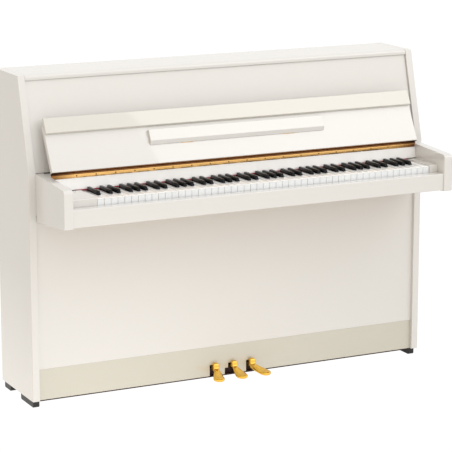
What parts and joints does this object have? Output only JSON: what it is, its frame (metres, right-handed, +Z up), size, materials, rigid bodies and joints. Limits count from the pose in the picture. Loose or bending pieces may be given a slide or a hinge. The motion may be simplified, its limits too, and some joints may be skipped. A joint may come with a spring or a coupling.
{
  "type": "upright piano",
  "caption": "Console upright piano in white lacquer: slanted upper front, folding fallboard with lip and music ledge, full keyboard, brass pedals.",
  "frame": {"origin": "on the floor, under the middle of the piano's bounding box", "axes": "+Z up, +X to the player's right, the player sits at -Y"},
  "size_m": [1.468, 0.53, 1.09],
  "materials": {
    "ivory_lacquer": "polished ivory-white lacquer",
    "natural_key": "glossy white",
    "sharp_key": "satin black",
    "brass": "polished",
    "black_foot": "satin black",
    "red_felt": "felt",
    "spruce": "satin varnish",
    "beech": "bare",
    "dark_stain": "dark stain",
    "gold_iron": "gold lacquer",
    "string_steel": "drawn wire",
    "wool_felt": "felt"
  },
  "bodies": {
    "case": {"side_panel_left": "ivory_lacquer", "side_panel_right": "ivory_lacquer", "arm_left": "ivory_lacquer", "arm_right": "ivory_lacquer", "upper_front_panel": "ivory_lacquer", "lower_front_panel": "ivory_lacquer", "toe_rail": "ivory_lacquer", "key_slip": "ivory_lacquer", "cheek_block_left": "ivory_lacquer", "cheek_block_right": "ivory_lacquer", "nameboard": "ivory_lacquer", "lid_hinge_fixed_leaf": "brass", "fallboard_hinge_fixed_leaf": "brass", "front_foot_left": "black_foot", "front_foot_right": "black_foot", "rear_foot_left": "black_foot", "rear_foot_right": "black_foot", "nameboard_felt": "red_felt", "bottom_board": "dark_stain", "keybed": "beech", "back_frame_and_pinblock": "beech", "action_rail": "beech", "key_frame": "spruce", "soundboard_with_bridges": "spruce", "iron_plate": "gold_iron", "strings": "string_steel"},
    "lid": {"top_lid": "ivory_lacquer", "lid_hinge_moving_leaf": "brass"},
    "fallboard": {"fallboard": "ivory_lacquer", "fallboard_hinge_moving_leaf": "brass"},
    "lip": {"fallboard_lip": "ivory_lacquer"},
    "ledge": {"music_ledge": "ivory_lacquer"},
    "left_pedal": {"pedal_left": "brass"},
    "left_trap_lever": {"trap_lever_left": "beech"},
    "left_trap_rod": {"trap_rod_left": "beech"},
    "middle_pedal": {"pedal_middle": "brass"},
    "middle_trap_lever": {"trap_lever_middle": "beech"},
    "middle_trap_rod": {"trap_rod_middle": "beech"},
    "right_pedal": {"pedal_right": "brass"},
    "right_trap_lever": {"trap_lever_right": "beech"},
    "right_trap_rod": {"trap_rod_right": "beech"},
    "hammers": {"hammers_and_rest_rail": "wool_felt"},
    "dampers": {"dampers": "wool_felt"},
    "muffler": {"muffler_rail": "wool_felt"},
    "bass_naturals": {"bass_natural_keys": "natural_key"},
    "bass_sharps": {"bass_sharp_keys": "sharp_key"},
    "treble_naturals": {"treble_natural_keys": "natural_key"},
    "treble_sharps": {"treble_sharp_keys": "sharp_key"},
    "c4_key": {"key_c4": "natural_key"},
    "c_sharp4_key": {"key_c_sharp4": "sharp_key"},
    "d4_key": {"key_d4": "natural_key"},
    "d_sharp4_key": {"key_d_sharp4": "sharp_key"},
    "e4_key": {"key_e4": "natural_key"},
    "f4_key": {"key_f4": "natural_key"},
    "f_sharp4_key": {"key_f_sharp4": "sharp_key"},
    "g4_key": {"key_g4": "natural_key"},
    "g_sharp4_key": {"key_g_sharp4": "sharp_key"},
    "a4_key": {"key_a4": "natural_key"},
    "a_sharp4_key": {"key_a_sharp4": "sharp_key"},
    "b4_key": {"key_b4": "natural_key"}
  },
  "joints": [
    {"name": "lid_opens", "type": "hinge", "parent": "case", "child": "lid", "pos_m": [0, 0.262, 1.073], "axis": [-1, 0, 0], "range_deg": [0, 100]},
    {"name": "fallboard_closes", "type": "hinge", "parent": "case", "child": "fallboard", "pos_m": [0, -0.0735, 0.784], "axis": [-1, 0, 0], "range_deg": [-120, 0]},
    {"name": "lip_unfolds", "type": "hinge", "parent": "fallboard", "child": "lip", "pos_m": [0, -0.01212, 0.9381], "axis": [1, 0, 0], "range_deg": [-90, 0]},
    {"name": "desk_ledge_unfolds", "type": "hinge", "parent": "fallboard", "child": "ledge", "pos_m": [0, -0.05779, 0.85139], "axis": [1, 0, 0], "range_deg": [0, 90]},
    {"name": "bass_naturals_press", "type": "hinge", "parent": "case", "child": "bass_naturals", "pos_m": [0, -0.005, 0.704], "axis": [1, 0, 0], "range_deg": [0, 2.6], "stiffness_Nm_per_rad": 34.5, "springref_deg": -5.73},
    {"name": "bass_sharps_press", "type": "hinge", "parent": "case", "child": "bass_sharps", "pos_m": [0, -0.005, 0.704], "axis": [1, 0, 0], "range_deg": [0, 2.6], "stiffness_Nm_per_rad": 19.2, "springref_deg": -5.73},
    {"name": "treble_naturals_press", "type": "hinge", "parent": "case", "child": "treble_naturals", "pos_m": [0, -0.005, 0.704], "axis": [1, 0, 0], "range_deg": [0, 2.6], "stiffness_Nm_per_rad": 33, "springref_deg": -5.73},
    {"name": "treble_sharps_press", "type": "hinge", "parent": "case", "child": "treble_sharps", "pos_m": [0, -0.005, 0.704], "axis": [1, 0, 0], "range_deg": [0, 2.6], "stiffness_Nm_per_rad": 18, "springref_deg": -5.73},
    {"name": "white_key_c4_press", "type": "hinge", "parent": "case", "child": "c4_key", "pos_m": [0, -0.005, 0.704], "axis": [1, 0, 0], "range_deg": [0, 2.6], "stiffness_Nm_per_rad": 1.5, "springref_deg": -5.73},
    {"name": "sharp_key_c_sharp_4_press", "type": "hinge", "parent": "case", "child": "c_sharp4_key", "pos_m": [0, -0.005, 0.704], "axis": [1, 0, 0], "range_deg": [0, 2.6], "stiffness_Nm_per_rad": 1.2, "springref_deg": -5.73},
    {"name": "white_key_d4_press", "type": "hinge", "parent": "case", "child": "d4_key", "pos_m": [0, -0.005, 0.704], "axis": [1, 0, 0], "range_deg": [0, 2.6], "stiffness_Nm_per_rad": 1.5, "springref_deg": -5.73},
    {"name": "sharp_key_d_sharp_4_press", "type": "hinge", "parent": "case", "child": "d_sharp4_key", "pos_m": [0, -0.005, 0.704], "axis": [1, 0, 0], "range_deg": [0, 2.6], "stiffness_Nm_per_rad": 1.2, "springref_deg": -5.73},
    {"name": "white_key_e4_press", "type": "hinge", "parent": "case", "child": "e4_key", "pos_m": [0, -0.005, 0.704], "axis": [1, 0, 0], "range_deg": [0, 2.6], "stiffness_Nm_per_rad": 1.5, "springref_deg": -5.73},
    {"name": "white_key_f4_press", "type": "hinge", "parent": "case", "child": "f4_key", "pos_m": [0, -0.005, 0.704], "axis": [1, 0, 0], "range_deg": [0, 2.6], "stiffness_Nm_per_rad": 1.5, "springref_deg": -5.73},
    {"name": "sharp_key_f_sharp_4_press", "type": "hinge", "parent": "case", "child": "f_sharp4_key", "pos_m": [0, -0.005, 0.704], "axis": [1, 0, 0], "range_deg": [0, 2.6], "stiffness_Nm_per_rad": 1.2, "springref_deg": -5.73},
    {"name": "white_key_g4_press", "type": "hinge", "parent": "case", "child": "g4_key", "pos_m": [0, -0.005, 0.704], "axis": [1, 0, 0], "range_deg": [0, 2.6], "stiffness_Nm_per_rad": 1.5, "springref_deg": -5.73},
    {"name": "sharp_key_g_sharp_4_press", "type": "hinge", "parent": "case", "child": "g_sharp4_key", "pos_m": [0, -0.005, 0.704], "axis": [1, 0, 0], "range_deg": [0, 2.6], "stiffness_Nm_per_rad": 1.2, "springref_deg": -5.73},
    {"name": "white_key_a4_press", "type": "hinge", "parent": "case", "child": "a4_key", "pos_m": [0, -0.005, 0.704], "axis": [1, 0, 0], "range_deg": [0, 2.6], "stiffness_Nm_per_rad": 1.5, "springref_deg": -5.73},
    {"name": "sharp_key_a_sharp_4_press", "type": "hinge", "parent": "case", "child": "a_sharp4_key", "pos_m": [0, -0.005, 0.704], "axis": [1, 0, 0], "range_deg": [0, 2.6], "stiffness_Nm_per_rad": 1.2, "springref_deg": -5.73},
    {"name": "white_key_b4_press", "type": "hinge", "parent": "case", "child": "b4_key", "pos_m": [0, -0.005, 0.704], "axis": [1, 0, 0], "range_deg": [0, 2.6], "stiffness_Nm_per_rad": 1.5, "springref_deg": -5.73},
    {"name": "pedal_left_press", "type": "hinge", "parent": "case", "child": "left_pedal", "pos_m": [-0.07, 0.04, 0.057], "axis": [1, 0, 0], "range_deg": [0, 5.5], "stiffness_Nm_per_rad": 25, "springref_deg": -8.59},
    {"name": "trap_lever_left_lift", "type": "hinge", "parent": "case", "child": "left_trap_lever", "pos_m": [0.2, 0.095, 0.074], "axis": [0, 1, 0], "range_deg": [0, 1.18]},
    {"name": "trap_rod_left_lift", "type": "slide", "parent": "case", "child": "left_trap_rod", "axis": [0, 0, 1], "range_m": [0, 0.01692]},
    {"name": "pedal_middle_press", "type": "hinge", "parent": "case", "child": "middle_pedal", "pos_m": [0, 0.04, 0.057], "axis": [1, 0, 0], "range_deg": [0, 5.5], "stiffness_Nm_per_rad": 25, "springref_deg": -8.59},
    {"name": "trap_lever_middle_lift", "type": "hinge", "parent": "case", "child": "middle_trap_lever", "pos_m": [0.2, 0.12, 0.074], "axis": [0, 1, 0], "range_deg": [0, 2.27]},
    {"name": "trap_rod_middle_lift", "type": "slide", "parent": "case", "child": "middle_trap_rod", "axis": [0, 0, 1], "range_m": [0, 0.03365]},
    {"name": "pedal_right_press", "type": "hinge", "parent": "case", "child": "right_pedal", "pos_m": [0.069, 0.04, 0.057], "axis": [1, 0, 0], "range_deg": [0, 5.5], "stiffness_Nm_per_rad": 25, "springref_deg": -8.59},
    {"name": "trap_lever_right_lift", "type": "hinge", "parent": "case", "child": "right_trap_lever", "pos_m": [0.3, 0.07, 0.074], "axis": [0, 1, 0], "range_deg": [0, 0.782]},
    {"name": "trap_rod_right_lift", "type": "slide", "parent": "case", "child": "right_trap_rod", "axis": [0, 0, 1], "range_m": [0, 0.01217]},
    {"name": "hammers_half_blow", "type": "hinge", "parent": "case", "child": "hammers", "pos_m": [0, 0.112, 0.824], "axis": [-1, 0, 0], "range_deg": [0, 11.05]},
    {"name": "dampers_lift", "type": "hinge", "parent": "case", "child": "dampers", "pos_m": [0, 0.138, 0.822], "axis": [1, 0, 0], "range_deg": [0, 8.05]},
    {"name": "muffler_drop", "type": "slide", "parent": "case", "child": "muffler", "axis": [0, 0, -1], "range_m": [0, 0.0302]}
  ],
  "couplings": [
    {"joint": "trap_lever_left_lift", "follows": "pedal_left_press", "ratio": 0.21111},
    {"joint": "trap_rod_left_lift", "follows": "pedal_left_press", "m_per_rad": 0.17417},
    {"joint": "trap_lever_middle_lift", "follows": "pedal_middle_press", "ratio": 0.41},
    {"joint": "trap_rod_middle_lift", "follows": "pedal_middle_press", "m_per_rad": 0.3485},
    {"joint": "trap_lever_right_lift", "follows": "pedal_right_press", "ratio": 0.13853},
    {"joint": "trap_rod_right_lift", "follows": "pedal_right_press", "m_per_rad": 0.12468},
    {"joint": "hammers_half_blow", "follows": "pedal_left_press", "ratio": 2},
    {"joint": "dampers_lift", "follows": "pedal_right_press", "ratio": 1.4545},
    {"joint": "muffler_drop", "follows": "pedal_middle_press", "m_per_rad": 0.3125}
  ]
}
